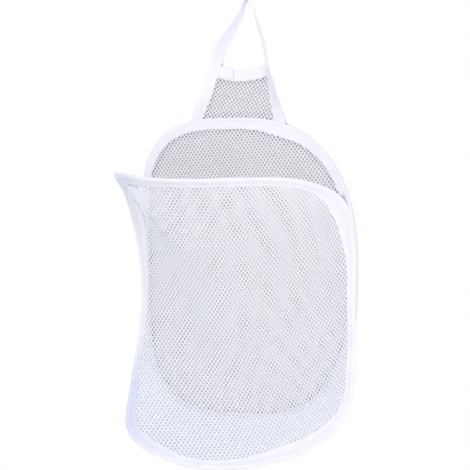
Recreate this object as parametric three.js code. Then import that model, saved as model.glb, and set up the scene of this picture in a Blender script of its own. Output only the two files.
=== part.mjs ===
// Pop up laundry hamper that hangs by a strap. Two closed loops of spring wire, each in a
// folded tape with a net panel, are joined by a cloth gusset that is open at the top.
// Millimetres. +X is to the right as seen from the front, +Y goes into the wall, +Z is up.
// The origin is the point where the hook bears on the inside of the strap.
import * as THREE from 'three';

// Back loop: the centre line of its wire, flat against the wall
const backHalfWidth = 163;
const backHalfHeight = 226;
const backDrop = 401;             // from the hook down to the loop's centre
const backOffset = -2;            // from the hook to the loop's centre, sideways
const crownLean = 29;             // how far the crown leans to the left
const footLean = 11;              // how far the foot leans to the left
const loopRoundness = 3;          // 2 is an ellipse, more is squarer

// Front loop: the same wire, sprung into a saddle
const frontHalfWidth = 165;
const frontHalfHeight = 202;
const frontDrop = 463;
const mouthReach = 145;           // how far the front loop stands off the wall at most
const bellyReach = 92;            // how far the middle of the front panel stands off
const bellyPower = 2.5;           // how late the panel turns up to its rim
// Rows go from the bent left corner down, along the foot, up the right side and back along
// the mouth: shares of the half width, the half height and the reach of the mouth
const frontLoopShares = [
  [-0.99, 1.00, 0.83], [-1.01, 0.88, 0.52], [-0.96, 0.58, 0.34], [-0.91, 0.23, 0.31],
  [-0.91, -0.14, 0.41], [-0.93, -0.49, 0.60], [-0.89, -0.79, 0.83], [-0.57, -0.94, 0.94],
  [-0.15, -1.00, 0.95], [0.30, -0.96, 0.87], [0.70, -0.85, 0.73], [0.96, -0.61, 0.56],
  [1.00, -0.26, 0.42], [0.99, 0.12, 0.35], [0.99, 0.50, 0.37], [0.91, 0.82, 0.48],
  [0.61, 0.95, 0.67], [0.20, 0.97, 0.85], [-0.24, 0.96, 0.97], [-0.67, 0.97, 0.98],
];
const frontRightCornerRow = 15;   // where the gusset ends at the right of the mouth

// Where the gusset ends on the back loop, below the hook
const leftMouthDrop = 264;
const rightMouthDrop = 286;

// Wire, its sleeve and the tape that is folded round them
const wireDiameter = 1.8;
const sleeveWall = 0.4;
const sleeveLength = 16;
const wireEndGap = 1.2;
const clearance = 0.3;
const tapeThickness = 0.7;
const bindingWidth = 13;
const beadRun = 4.2;              // from the wire to where the tape's two sides come together
const seamDepth = 7;              // from the wire to where the gusset meets the tape

// Net
const netThickness = 0.8;
const netTuck = 6.4;              // how far the net reaches into the binding
const netPitchAcross = 34;
const netPitchUp = 49;
const netHoleShare = 0.34;        // half of a gap, as a share of the pitch
const netEdgeMargin = 17;         // solid border left between the binding and the gaps
const backNetTurnDegrees = 4;
const frontNetTurnDegrees = 3;

// Gusset and the hems at its two ends
const gussetThickness = 0.8;
const gussetBillowShare = 0.06;   // how far it stands out, as a share of its own width
const hemWidth = 11;
const hemEndShare = 0.045;        // bare part of the mouth edge at each end of a hem

// Hanging strap: a flat tape, turned as it goes round the hook
const strapWidth = 18;
const strapThickness = 1.2;
const strapDrop = 174;
const strapSpread = 81;
// Shares of the spread and of the drop, and how far the tape is turned edge on, in degrees.
// Its inner edge stays in the tab's plane and its outer edge swings forward.
const strapRouteShares = [
  [-1.00, 0.99, 0], [-0.82, 0.81, 4], [-0.62, 0.535, 13], [-0.515, 0.41, 33],
  [-0.335, 0.285, 53], [-0.145, 0.155, 74], [-0.06, 0.045, 87], [0, 0, 90],
  [0.10, 0.055, 84], [0.17, 0.165, 70], [0.28, 0.32, 68], [0.355, 0.48, 66],
  [0.38, 0.56, 64], [0.43, 0.69, 54], [0.505, 0.855, 36], [0.60, 1.02, 5],
];

// Tab between the strap's legs
const bandHeight = 17;
const bandStartDrop = 95;         // top of the band at its two ends
const bandDip = 7;                // how far its middle hangs below them
const tabPitchAcross = 17;
const tabPitchUp = 15;
const tabNetTurnDegrees = 12;
const tabEdgeMargin = 8;
const tabMiddleShare = 0.6;       // of the way from the band to the crown

// Small bare piece of cloth in the seam at the foot of the back panel
const sewnTabWidth = 12;
const sewnTabLength = 11;
const sewnTabThickness = 0.6;
const sewnTabSideShare = -0.42;   // share of the back loop's half width
const sewnTabCurl = 1.5;

// Steps along the curves
const gussetSteps = 46;
const mouthSteps = 18;
const gussetRows = 6;
const strapSteps = 60;
const bandSteps = 8;
const rimSamples = 360;

const bead = wireDiameter / 2 + clearance + sleeveWall + clearance;  // inside of the fold
const foldReach = bead + tapeThickness;                              // outside of the fold
const flangeEnd = bindingWidth - foldReach;
const flangeInside = netThickness / 2 + clearance;
const flangeOutside = flangeInside + tapeThickness;
const slopeStep = 1e-4;           // small change of a parameter, for slopes
const probe = wireDiameter * slopeStep * 100;                        // small length, for slopes

const cloth = (colour, roughness) =>
  new THREE.MeshStandardMaterial({ color: colour, roughness, metalness: 0 });
const steel = () =>
  new THREE.MeshStandardMaterial({ color: 0x9a9da3, roughness: 0.35, metalness: 1 });
const group = new THREE.Group();

// Makes a named mesh from corners and the faces that join them. A left-handed frame gives
// faces that all point in, so the sign of the volume says whether to turn them.
function addSolid(name, corners, faces, material) {
  const [a, b, c] = [new THREE.Vector3(), new THREE.Vector3(), new THREE.Vector3()];
  const volume = faces.reduce((sum, [i, j, k]) => sum
    + a.fromArray(corners[i]).dot(b.fromArray(corners[j]).cross(c.fromArray(corners[k]))), 0);
  const turned = volume > 0 ? faces : faces.map(([i, j, k]) => [i, k, j]);
  const geometry = new THREE.BufferGeometry();
  geometry.setAttribute('position', new THREE.Float32BufferAttribute(corners.flat(), 3));
  geometry.setIndex(turned.flat());
  const mesh = new THREE.Mesh(geometry, material);
  mesh.name = name;
  group.add(mesh);
}

const signedPower = (value, power) => Math.sign(value) * Math.abs(value) ** power;
const mix = (a, b, share) => a + (b - a) * share;

// Loops

// The back loop's wire at an angle from 0 to a full turn: a square-shouldered oval that leans
function backPoint(angle) {
  const across = signedPower(Math.cos(angle), 2 / loopRoundness);
  const up = signedPower(Math.sin(angle), 2 / loopRoundness);
  const lean = (up > 0 ? crownLean : footLean) * up * up;
  return new THREE.Vector3(
    backOffset + backHalfWidth * across - lean, 0, -backDrop + backHalfHeight * up);
}

const frontCurve = new THREE.CatmullRomCurve3(
  frontLoopShares.map(([across, up, reach]) => new THREE.Vector3(
    frontHalfWidth * across, -mouthReach * reach, -frontDrop + frontHalfHeight * up)),
  true, 'centripetal');
const frontPoint = (share) => frontCurve.getPoint(((share % 1) + 1) % 1);

// Parameters from one value to another at equal distances along the curve
function evenSteps(pointAt, from, to, steps) {
  const samples = steps * 24;
  const lengths = [0];
  let last = pointAt(from);
  for (let i = 1; i <= samples; i++) {
    const next = pointAt(mix(from, to, i / samples));
    lengths.push(lengths[i - 1] + next.distanceTo(last));
    last = next;
  }
  const found = [];
  let at = 0;
  for (let i = 0; i <= steps; i++) {
    const wanted = (lengths[samples] * i) / steps;
    while (at < samples - 1 && lengths[at + 1] < wanted) at++;
    const share = (wanted - lengths[at]) / (lengths[at + 1] - lengths[at]);
    found.push(mix(from, to, (at + share) / samples));
  }
  return found;
}

// A loop with its panel: the frames along its wire, and the panel's shape inside it.
// start and finish are where the gusset ends; period is a whole turn of the parameter.
function makeLoop(pointAt, centre, middleReach, start, finish, period) {
  const rim = [];
  for (let i = 0; i < rimSamples; i++) {
    const p = pointAt((period * i) / rimSamples);
    const [dx, dz] = [p.x - centre.x, p.z - centre.z];
    rim.push({ angle: Math.atan2(dz, dx), radius: Math.hypot(dx, dz), reach: -p.y });
  }
  rim.sort((a, b) => a.angle - b.angle);

  // The rim's distance from the centre and from the wall, in the direction of a point
  function rimToward(x, z) {
    const angle = Math.atan2(z - centre.z, x - centre.x);
    let high = rim.findIndex((r) => r.angle > angle);
    if (high < 0) high = 0;
    const [a, b] = [rim[(high + rimSamples - 1) % rimSamples], rim[high]];
    const turn = (value) => ((value % (2 * Math.PI)) + 2 * Math.PI) % (2 * Math.PI);
    const share = turn(angle - a.angle) / turn(b.angle - a.angle);
    return { radius: mix(a.radius, b.radius, share), reach: mix(a.reach, b.reach, share) };
  }

  function panelAt(x, z) {
    const edge = rimToward(x, z);
    const out = Math.hypot(x - centre.x, z - centre.z) / edge.radius;
    return -(middleReach + (edge.reach - middleReach) * out ** bellyPower);
  }

  // Distance from a point of the panel to the rim, measured from the centre outwards
  const toRim = (x, z) => rimToward(x, z).radius - Math.hypot(x - centre.x, z - centre.z);

  function panelFront(x, z) {
    const slopeX = (panelAt(x + probe, z) - panelAt(x - probe, z)) / (2 * probe);
    const slopeZ = (panelAt(x, z + probe) - panelAt(x, z - probe)) / (2 * probe);
    return new THREE.Vector3(slopeX, -1, slopeZ).normalize();
  }

  // along the wire, inward along the panel, and front, away from the wall
  function frameAt(value) {
    const point = pointAt(value);
    const along = pointAt(value + slopeStep * period)
      .sub(pointAt(value - slopeStep * period)).normalize();
    const rise = bellyPower * (-point.y - middleReach);
    const inward = new THREE.Vector3(centre.x - point.x, rise, centre.z - point.z);
    inward.addScaledVector(along, -inward.dot(along)).normalize();
    const front = new THREE.Vector3().crossVectors(inward, along).normalize();
    if (front.y > 0) front.negate();
    return { point, along, inward, front };
  }
  const round = evenSteps(pointAt, start, finish, gussetSteps);
  const over = evenSteps(pointAt, finish, start + period, mouthSteps).slice(1, -1);
  const frames = [...round, ...over].map(frameAt);
  return { frames, frameAt, panelAt, panelFront, toRim, centre, pointAt };
}

// The angle at which the back loop passes a height, on the right
const backAngleAtDrop = (drop) =>
  Math.asin(((backDrop - drop) / backHalfHeight) ** (loopRoundness / 2));
const fullTurn = 2 * Math.PI;
const backLoop = makeLoop(
  backPoint, new THREE.Vector3(backOffset, 0, -backDrop), 0,
  Math.PI - backAngleAtDrop(leftMouthDrop), fullTurn + backAngleAtDrop(rightMouthDrop), fullTurn);
const frontLoop = makeLoop(
  frontPoint, new THREE.Vector3(0, 0, -frontDrop), bellyReach,
  0, frontRightCornerRow / frontLoopShares.length, 1);

// A point beside the wire: so far inward along the panel and so far to the front
const beside = (frame, inward, front) =>
  frame.point.clone().addScaledVector(frame.inward, inward).addScaledVector(frame.front, front);

// Joins rings of the same number of corners into one solid. Its ends are closed with the
// cap's triangles, or without a cap are joined to each other. The two halves of a ring split
// their faces in mirrored ways, so that a folded tape's sides stay parallel where it twists.
function sweep(name, rings, material, cap) {
  const size = rings[0].length;
  const faces = [];
  const last = cap ? rings.length - 1 : rings.length;
  for (let i = 0; i < last; i++) {
    for (let j = 0; j < size; j++) {
      const [a, b] = [i * size + j, i * size + ((j + 1) % size)];
      const next = ((i + 1) % rings.length) * size;
      const [c, d] = [next + j, next + ((j + 1) % size)];
      if (j < size / 2) faces.push([a, b, d], [a, d, c]);
      else faces.push([a, b, c], [b, d, c]);
    }
  }
  if (cap) {
    const end = (rings.length - 1) * size;
    for (const [a, b, c] of cap) {
      faces.push([a, c, b], [end + a, end + b, end + c]);
    }
  }
  addSolid(name, rings.flat().map((p) => p.toArray()), faces, material);
}

// Triangles of a flat outline that is given as pairs, for closing the end of a sweep
const capOf = (section) =>
  THREE.ShapeUtils.triangulateShape(section.map(([x, y]) => new THREE.Vector2(x, y)), []);

const hexCorner = 1 / Math.cos(Math.PI / 6);  // a hexagon's corner, for a flat at 1

// A tape folded over an edge, in section: first value inward from the fold's centre. One side
// runs from the outside of the fold round the tape's edge to the inside, and is mirrored.
function foldedTape(bead, run, inside, end, thickness) {
  const bend = (radius) => [180, 240, 300].map((degrees) => {
    const angle = (degrees * Math.PI) / 180;
    return [radius * hexCorner * Math.cos(angle), radius * hexCorner * Math.sin(angle)];
  });
  const outside = inside + thickness;
  const side = [...bend(bead + thickness), [run, -outside], [end, -outside],
    [end, -inside], [run, -inside], ...bend(bead).reverse()];
  return [...side, ...side.slice(1, -1).reverse().map(([a, b]) => [a, -b])];
}

// Binding round each loop
function addBinding(name, loop) {
  const section = foldedTape(bead, beadRun, flangeInside, flangeEnd, tapeThickness);
  const rings = loop.frames.map((f) => section.map(([a, b]) => beside(f, a, b)));
  sweep(name, rings, cloth(0xf2f2f8, 0.85));
}

// Six-sided ring round the wire's line
function roundRing(frame, radius) {
  const ring = [];
  for (let k = 0; k < 6; k++) {
    const angle = (k * Math.PI) / 3;
    ring.push(beside(frame, radius * Math.cos(angle), radius * Math.sin(angle)));
  }
  return ring;
}

// The wire is cut at the middle of the foot, where a crimped sleeve joins its ends
function addWire(name, sleeveName, loop) {
  const middle = Math.round(gussetSteps / 2);
  const [before, after] = [loop.frames[middle - 1], loop.frames[middle]];
  const span = before.point.distanceTo(after.point);
  const atJoint = (distance) => {
    const share = 1 / 2 + distance / span;
    return {
      point: before.point.clone().lerp(after.point, share),
      inward: before.inward.clone().lerp(after.inward, share).normalize(),
      front: before.front.clone().lerp(after.front, share).normalize(),
    };
  };
  const frames = [
    atJoint(wireEndGap / 2), ...loop.frames.slice(middle), ...loop.frames.slice(0, middle),
    atJoint(-wireEndGap / 2)];
  const rings = frames.map((f) => roundRing(f, wireDiameter / 2));
  const fan = rings[0].slice(2).map((corner, k) => [0, k + 1, k + 2]);
  sweep(name, rings, steel(), fan);

  const bore = (wireDiameter / 2 + clearance) * hexCorner;
  const ends = [atJoint(-sleeveLength / 2), atJoint(sleeveLength / 2)];
  const tube = [
    roundRing(ends[0], bore + sleeveWall), roundRing(ends[1], bore + sleeveWall),
    roundRing(ends[1], bore), roundRing(ends[0], bore)];
  sweep(sleeveName, tube, steel());
}

// Nets

// Diamonds on a turned lattice, kept where the test lets all four corners through
function diamonds(centre, width, height, pitchAcross, pitchUp, turnDegrees, keep) {
  const turn = (turnDegrees * Math.PI) / 180;
  const [cos, sin] = [Math.cos(turn), Math.sin(turn)];
  const found = [];
  const [columns, rows] = [Math.ceil(width / pitchAcross), Math.ceil((2 * height) / pitchUp)];
  for (let row = -rows; row <= rows; row++) {
    for (let column = -columns; column <= columns; column++) {
      const across = (column + (row % 2 ? 0.5 : 0)) * pitchAcross;
      const up = row * (pitchUp / 2);
      const corners = [[1, 0], [0, 1], [-1, 0], [0, -1]].map(([a, b]) => {
        const x = across + a * netHoleShare * pitchAcross;
        const z = up + b * netHoleShare * pitchUp;
        return new THREE.Vector2(centre.x + x * cos - z * sin, centre.z + x * sin + z * cos);
      });
      if (corners.every((c) => keep(c.x, c.y))) found.push(corners);
    }
  }
  return found;
}

// A thin sheet with gaps. Border rings run round it, the outermost first; each ring and each
// gap is a list of [point on the middle of the sheet, direction of its front].
function addNet(name, borders, gaps, material) {
  const corners = [];
  const faces = [];
  const put = (list) => list.map(([point, front]) => {
    const first = corners.length;
    corners.push(point.clone().addScaledVector(front, netThickness / 2).toArray());
    corners.push(point.clone().addScaledVector(front, -netThickness / 2).toArray());
    return first;
  });
  const face = (a, b, c) => faces.push([a, b, c], [a + 1, c + 1, b + 1]);
  const wall = (ring) => ring.forEach((a, k) => {
    const b = ring[(k + 1) % ring.length];
    faces.push([a, a + 1, b + 1], [a, b + 1, b]);
  });
  const rings = borders.map(put);
  for (let r = 0; r + 1 < rings.length; r++) {
    rings[r].forEach((a, k) => {
      const n = (k + 1) % rings[r].length;
      face(a, rings[r][n], rings[r + 1][k]);
      face(rings[r][n], rings[r + 1][n], rings[r + 1][k]);
    });
  }
  const flat = (list) => list.map(([point]) => new THREE.Vector2(point.x, point.z));
  const inner = rings[rings.length - 1];
  const holes = gaps.map(put);
  const all = [...inner, ...holes.flat()];
  const triangles = THREE.ShapeUtils.triangulateShape(
    flat(borders[borders.length - 1]), gaps.map(flat));
  for (const [a, b, c] of triangles) face(all[a], all[b], all[c]);
  wall(rings[0]);
  holes.forEach(wall);
  addSolid(name, corners, faces, material);
}

// Counter-clockwise from the front, as the front faces need
function turning(list) {
  const area = THREE.ShapeUtils.area(list.map(([p]) => new THREE.Vector2(p.x, p.z)));
  return area > 0 ? list : [...list].reverse();
}

function addPanel(name, loop, width, height, turnDegrees) {
  const border = (depth) => turning(loop.frames.map((f) => [beside(f, depth, 0), f.front]));
  const onPanel = (x, z) => [new THREE.Vector3(x, loop.panelAt(x, z), z), loop.panelFront(x, z)];
  const margin = turning(loop.frames.map(({ point }) => {
    const radius = Math.hypot(point.x - loop.centre.x, point.z - loop.centre.z);
    const share = (bindingWidth + netEdgeMargin / 2) / radius;
    return onPanel(mix(point.x, loop.centre.x, share), mix(point.z, loop.centre.z, share));
  }));
  const keep = (x, z) => loop.toRim(x, z) > bindingWidth + netEdgeMargin;
  const gaps = diamonds(
    loop.centre, width, height, netPitchAcross, netPitchUp, turnDegrees, keep
  ).map((corners) => turning(corners.map((c) => onPanel(c.x, c.y))).reverse());
  addNet(name, [border(flangeEnd - netTuck), border(flangeEnd + clearance), margin], gaps,
    cloth(0xe4e4ec, 0.9));
  return gaps.length;
}

// Gusset

// Columns run from the back binding to the front one; the middle stands out a little
function gussetGrid() {
  const seat = flangeOutside + clearance + gussetThickness / 2;
  const columns = [];
  for (let i = 0; i <= gussetSteps; i++) {
    const [back, front] = [backLoop.frames[i], frontLoop.frames[i]];
    const from = beside(back, seamDepth, seat);
    const to = beside(front, seamDepth, -seat);
    const billow = from.distanceTo(to) * gussetBillowShare;
    const column = [];
    for (let j = 0; j <= gussetRows; j++) {
      const share = j / gussetRows;
      const point = from.clone().lerp(to, share);
      point.addScaledVector(back.inward, -billow * Math.sin(Math.PI * share));
      column.push(point);
    }
    columns.push(column);
  }
  return columns;
}

// Direction that points out of the hamper at a place in the grid
function gridOut(grid, i, j) {
  const clampTo = (value, most) => Math.min(Math.max(value, 0), most);
  const at = (a, b) => grid[clampTo(a, grid.length - 1)][clampTo(b, grid[0].length - 1)];
  const down = at(i + 1, j).clone().sub(at(i - 1, j));
  const forward = at(i, j + 1).clone().sub(at(i, j - 1));
  return new THREE.Vector3().crossVectors(forward, down).normalize();
}

function addGusset(name, grid) {
  const corners = [];
  const faces = [];
  const [columns, rows] = [grid.length, grid[0].length];
  for (const side of [1, -1]) {
    for (let i = 0; i < columns; i++) {
      for (let j = 0; j < rows; j++) {
        const out = gridOut(grid, i, j);
        corners.push(
          grid[i][j].clone().addScaledVector(out, (side * gussetThickness) / 2).toArray());
      }
    }
  }
  const outer = (i, j) => i * rows + j;
  const inner = (i, j) => columns * rows + i * rows + j;
  const quad = (a, b, c, d) => faces.push([a, b, c], [a, c, d]);
  for (let i = 0; i + 1 < columns; i++) {
    for (let j = 0; j + 1 < rows; j++) {
      quad(outer(i, j), outer(i, j + 1), outer(i + 1, j + 1), outer(i + 1, j));
      quad(inner(i, j), inner(i + 1, j), inner(i + 1, j + 1), inner(i, j + 1));
    }
    quad(outer(i, 0), outer(i + 1, 0), inner(i + 1, 0), inner(i, 0));
    quad(inner(i, rows - 1), inner(i + 1, rows - 1), outer(i + 1, rows - 1), outer(i, rows - 1));
  }
  for (let j = 0; j + 1 < rows; j++) {
    quad(inner(0, j), inner(0, j + 1), outer(0, j + 1), outer(0, j));
    quad(outer(columns - 1, j), outer(columns - 1, j + 1),
      inner(columns - 1, j + 1), inner(columns - 1, j));
  }
  addSolid(name, corners, faces, cloth(0xeeeef8, 0.9));
}

// A tape folded over one end of the gusset. Its fold lies just past the gusset's edge.
function addHem(name, grid, end) {
  const inside = gussetThickness / 2 + clearance;
  const flatEnd = hemWidth - inside - tapeThickness;
  const section = foldedTape(inside, inside + tapeThickness, inside, flatEnd, tapeThickness);
  const step = end === 0 ? 1 : -1;
  const edge = grid[end];
  const next = grid[end + step];
  const rings = [];
  for (let j = 0; j <= gussetRows; j++) {
    const place = Math.min(Math.max(j, hemEndShare * gussetRows), (1 - hemEndShare) * gussetRows);
    const low = Math.min(Math.floor(place), gussetRows - 1);
    const pick = (column) => column[low].clone().lerp(column[low + 1], place - low);
    const point = pick(edge);
    const into = pick(next).sub(point).normalize();
    const out = gridOut(grid, end, low).lerp(gridOut(grid, end, low + 1), place - low);
    into.addScaledVector(out, -into.dot(out)).normalize();
    rings.push(section.map(([a, b]) =>
      point.clone().addScaledVector(into, a).addScaledVector(out, b)));
  }
  sweep(name, rings, cloth(0xe2e2f4, 0.85), capOf(section));
}

// Hanger

// Height of the back binding's upper edge, the tab's foot
const crownLine = backLoop.frames
  .map((f) => beside(f, -foldReach * hexCorner, 0))
  .filter((p) => p.z > -backDrop + backHalfHeight / 2)
  .sort((a, b) => a.x - b.x);
function crownAt(x) {
  let i = crownLine.findIndex((p) => p.x > x);
  if (i < 1) i = i < 0 ? crownLine.length - 1 : 1;
  const [a, b] = [crownLine[i - 1], crownLine[i]];
  return mix(a.z, b.z, (x - a.x) / (b.x - a.x));
}

// Places along the strap: point, along, the direction across its width, and its own front
function strapFrames() {
  const path = new THREE.CatmullRomCurve3(strapRouteShares.map(([across, drop]) =>
    new THREE.Vector3(strapSpread * across, 0, strapThickness / 2 - strapDrop * drop)));
  const frames = [];
  for (let i = 0; i <= strapSteps; i++) {
    const value = i / strapSteps;
    const place = value * (strapRouteShares.length - 1);
    const row = Math.min(Math.floor(place), strapRouteShares.length - 2);
    const degrees = mix(strapRouteShares[row][2], strapRouteShares[row + 1][2], place - row);
    const turn = (degrees * Math.PI) / 180;
    const along = path.getTangent(value);
    const side = new THREE.Vector3(along.z, 0, -along.x);
    const wall = new THREE.Vector3(0, 1, 0);
    const across = side.clone().multiplyScalar(Math.cos(turn))
      .addScaledVector(wall, Math.sin(turn));
    const front = new THREE.Vector3().crossVectors(along, across);
    const point = path.getPoint(value).addScaledVector(wall, (-strapWidth / 2) * Math.sin(turn));
    frames.push({ point, along, across, front, turn });
  }
  return frames;
}

function addStrap(name, frames) {
  const section = [[-1, -1], [1, -1], [1, 1], [-1, 1]];
  const rings = frames.map((f) => section.map(([a, b]) => f.point.clone()
    .addScaledVector(f.across, (a * strapWidth) / 2)
    .addScaledVector(f.front, (b * strapThickness) / 2)));
  for (const foot of [rings[0], rings[rings.length - 1]]) {
    for (const corner of foot) corner.z = crownAt(corner.x) + clearance;
  }
  sweep(name, rings, cloth(0xf4f4fa, 0.8), capOf(section));
}

// The inner edge of the left or right leg at a height, with the clearance
function legEdge(frames, left) {
  const top = frames.reduce((best, f, i) => (f.point.z > frames[best].point.z ? i : best), 0);
  const leg = left ? frames.slice(0, top + 1) : frames.slice(top).reverse();
  return (z) => {
    let i = leg.findIndex((f) => f.point.z > z);
    if (i < 1) i = i < 0 ? leg.length - 1 : 1;
    const [a, b] = [leg[i - 1], leg[i]];
    const share = (z - a.point.z) / (b.point.z - a.point.z);
    const turn = mix(a.turn, b.turn, share);
    const slope = Math.abs(mix(a.along.z, b.along.z, share));
    const half = (strapWidth / 2) * Math.cos(turn) + (strapThickness / 2) * Math.sin(turn);
    const reach = (half + clearance) / slope;
    return mix(a.point.x, b.point.x, share) + (left ? reach : -reach);
  };
}

const bandTopAt = (share) => -bandStartDrop - bandDip * Math.sin(Math.PI * share);

function addTab(bandName, netName, frames) {
  const leftAt = legEdge(frames, true);
  const rightAt = legEdge(frames, false);
  const section = foldedTape(
    flangeInside, flangeOutside, flangeInside, bandHeight - flangeOutside, tapeThickness);
  const rings = [];
  for (let i = 0; i <= bandSteps; i++) {
    const share = i / bandSteps;
    const top = bandTopAt(share) - flangeOutside;
    rings.push(section.map(([down, out]) => {
      const z = top - down;
      return new THREE.Vector3(mix(leftAt(z), rightAt(z), share), -out, z);
    }));
  }
  sweep(bandName, rings, cloth(0xf4f4fa, 0.85), capOf(section));

  const front = new THREE.Vector3(0, -1, 0);
  const outline = [];
  const place = (x, z) => outline.push([new THREE.Vector3(x, 0, z), front]);
  const topZ = (share) => bandTopAt(share) - flangeOutside - clearance;
  const [footLeft, footRight] = [frames[0].point.x, frames[frames.length - 1].point.x];
  const cornerLeft = leftAt(crownAt(footLeft + strapWidth / 2) + clearance);
  const cornerRight = rightAt(crownAt(footRight - strapWidth / 2) + clearance);
  const lowZ = (x) => crownAt(x) + clearance;
  for (const p of crownLine) {
    if (outline.length === 0) place(cornerLeft, lowZ(cornerLeft));
    if (p.x > cornerLeft && p.x < cornerRight) place(p.x, lowZ(p.x));
  }
  place(cornerRight, lowZ(cornerRight));
  for (let i = 1; i < bandSteps; i++) {
    const z = mix(lowZ(cornerRight), topZ(1), i / bandSteps);
    place(rightAt(z), z);
  }
  for (let i = 0; i <= bandSteps; i++) {
    const share = 1 - i / bandSteps;
    const z = topZ(share);
    place(mix(leftAt(z), rightAt(z), share), z);
  }
  for (let i = 1; i < bandSteps; i++) {
    const z = mix(topZ(0), lowZ(cornerLeft), i / bandSteps);
    place(leftAt(z), z);
  }
  const middle = new THREE.Vector3(
    (footLeft + footRight) / 2, 0, -mix(bandStartDrop, strapDrop, tabMiddleShare));
  const keep = (x, z) => x > leftAt(z) + tabEdgeMargin && x < rightAt(z) - tabEdgeMargin
    && z < -bandStartDrop - bandDip - bandHeight && z > lowZ(x) + tabEdgeMargin / 2;
  const gaps = diamonds(middle, strapDrop, strapDrop, tabPitchAcross, tabPitchUp,
    tabNetTurnDegrees, keep).map((corners) => turning(
    corners.map((c) => [new THREE.Vector3(c.x, 0, c.y), front])).reverse());
  addNet(netName, [turning(outline)], gaps, cloth(0xe4e4ec, 0.9));
  return gaps.length;
}

// The small bare tab stands on the back binding at the foot, just inside the gusset's seam
function addSewnTab(name) {
  const wanted = backOffset + backHalfWidth * sewnTabSideShare;
  const foot = backLoop.frames.slice(0, gussetSteps)
    .filter((f) => f.point.z < -backDrop - backHalfHeight / 2)
    .reduce((best, f) =>
      (Math.abs(f.point.x - wanted) < Math.abs(best.point.x - wanted) ? f : best));
  const low = seamDepth + gussetThickness + clearance;
  const seat = flangeOutside + clearance + sewnTabThickness / 2;
  const square = [[-1, -1], [1, -1], [1, 1], [-1, 1]];
  const rings = [0, 1 / 2, 1].map((share) => {
    const lift = seat + sewnTabCurl * share * share;
    return square.map(([a, b]) =>
      beside(foot, low + sewnTabLength * share, lift + (b * sewnTabThickness) / 2)
        .addScaledVector(foot.along, (a * sewnTabWidth) / 2));
  });
  sweep(name, rings, cloth(0xf6f6fa, 0.9), capOf(square));
}

addWire('back_frame_wire', 'back_wire_sleeve', backLoop);
addBinding('back_binding', backLoop);
const backGaps = addPanel(
  'back_mesh', backLoop, backHalfWidth, backHalfHeight, backNetTurnDegrees);
addWire('front_frame_wire', 'front_wire_sleeve', frontLoop);
addBinding('front_binding', frontLoop);
const frontGaps = addPanel(
  'front_mesh', frontLoop, frontHalfWidth, frontHalfHeight, frontNetTurnDegrees);
const grid = gussetGrid();
addGusset('gusset', grid);
addHem('left_mouth_hem', grid, 0);
addHem('right_mouth_hem', grid, gussetSteps);
addSewnTab('sewn_tab');
const strap = strapFrames();
addStrap('hanging_strap', strap);
const tabGaps = addTab('tab_top_band', 'tab_mesh', strap);
console.log(`net gaps: back ${backGaps}, front ${frontGaps}, tab ${tabGaps}`);

export default group;
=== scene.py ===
# %% [markdown]
# # A pop up laundry hamper that hangs on a wall
# Two closed loops of spring wire hold this hamper open. Each loop is hidden in a white tape that
# is folded over it, and the tape also holds the edge of a net panel. A cloth gusset joins the
# two loops down the left, along the foot and up the right, and the mouth at the top stays open.
# A strap with a small net tab carries it all from a hook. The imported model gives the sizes, the
# places and what moves. This lesson dresses it in net, tape and cloth.

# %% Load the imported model
import math

import bpy
import numpy as np
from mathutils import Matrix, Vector, noise


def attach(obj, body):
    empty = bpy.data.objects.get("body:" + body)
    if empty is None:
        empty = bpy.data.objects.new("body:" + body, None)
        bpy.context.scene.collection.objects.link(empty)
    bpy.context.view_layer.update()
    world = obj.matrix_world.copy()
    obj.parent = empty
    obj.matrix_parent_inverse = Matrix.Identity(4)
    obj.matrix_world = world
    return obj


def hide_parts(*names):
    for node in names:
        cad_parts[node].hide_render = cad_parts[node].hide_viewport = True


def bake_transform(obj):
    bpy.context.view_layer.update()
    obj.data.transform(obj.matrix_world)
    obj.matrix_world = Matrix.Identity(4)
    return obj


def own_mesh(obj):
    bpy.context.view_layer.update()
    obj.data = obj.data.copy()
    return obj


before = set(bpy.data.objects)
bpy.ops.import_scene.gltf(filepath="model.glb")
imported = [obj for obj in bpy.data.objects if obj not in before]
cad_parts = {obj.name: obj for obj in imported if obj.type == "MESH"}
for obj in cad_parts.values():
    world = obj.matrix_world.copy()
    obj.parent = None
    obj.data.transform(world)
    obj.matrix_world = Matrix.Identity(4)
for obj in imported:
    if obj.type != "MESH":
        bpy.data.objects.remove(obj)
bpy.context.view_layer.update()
bpy.ops.object.select_all(action="DESELECT")
mm = 0.001

# %% [markdown]
# ## The camera
# The photograph was taken from a little to the right and a little above, about a metre and a
# half away. The camera looks at a point in the middle of the picture, which lies left of the
# hook and halfway down.

# %% The camera
camera_target = Vector((-20.25 * mm, 0, -348 * mm))
camera_distance = 1500 * mm
camera_azimuth = math.radians(13)
camera_elevation = math.radians(2)
camera_back = Vector((
    math.sin(camera_azimuth) * math.cos(camera_elevation),
    -math.cos(camera_azimuth) * math.cos(camera_elevation),
    math.sin(camera_elevation),
))
bpy.ops.object.camera_add(location=camera_target + camera_back * camera_distance)
camera = bpy.context.object
camera.rotation_euler = (-camera_back).to_track_quat("-Z", "Y").to_euler()
camera.data.sensor_width = 36
camera.data.lens = 76.6
bpy.context.scene.camera = camera
print("camera at", [round(x, 3) for x in camera.location])

# %% [markdown]
# ## The two wire loops
# Every soft piece follows one of the two loops, so the loops come first. The back loop lies flat
# on the wall: an oval with square shoulders, whose crown leans to the left. The front loop is the
# same wire, sprung into a saddle, and a smooth curve through a few listed points gives its shape.

# %% The back loop
back_half_width = 163 * mm
back_half_height = 226 * mm
back_drop = 401 * mm
back_offset = -2 * mm
crown_lean = 29 * mm
foot_lean = 11 * mm
loop_roundness = 3


def signed_power(value, power):
    return math.copysign(abs(value) ** power, value)


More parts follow.
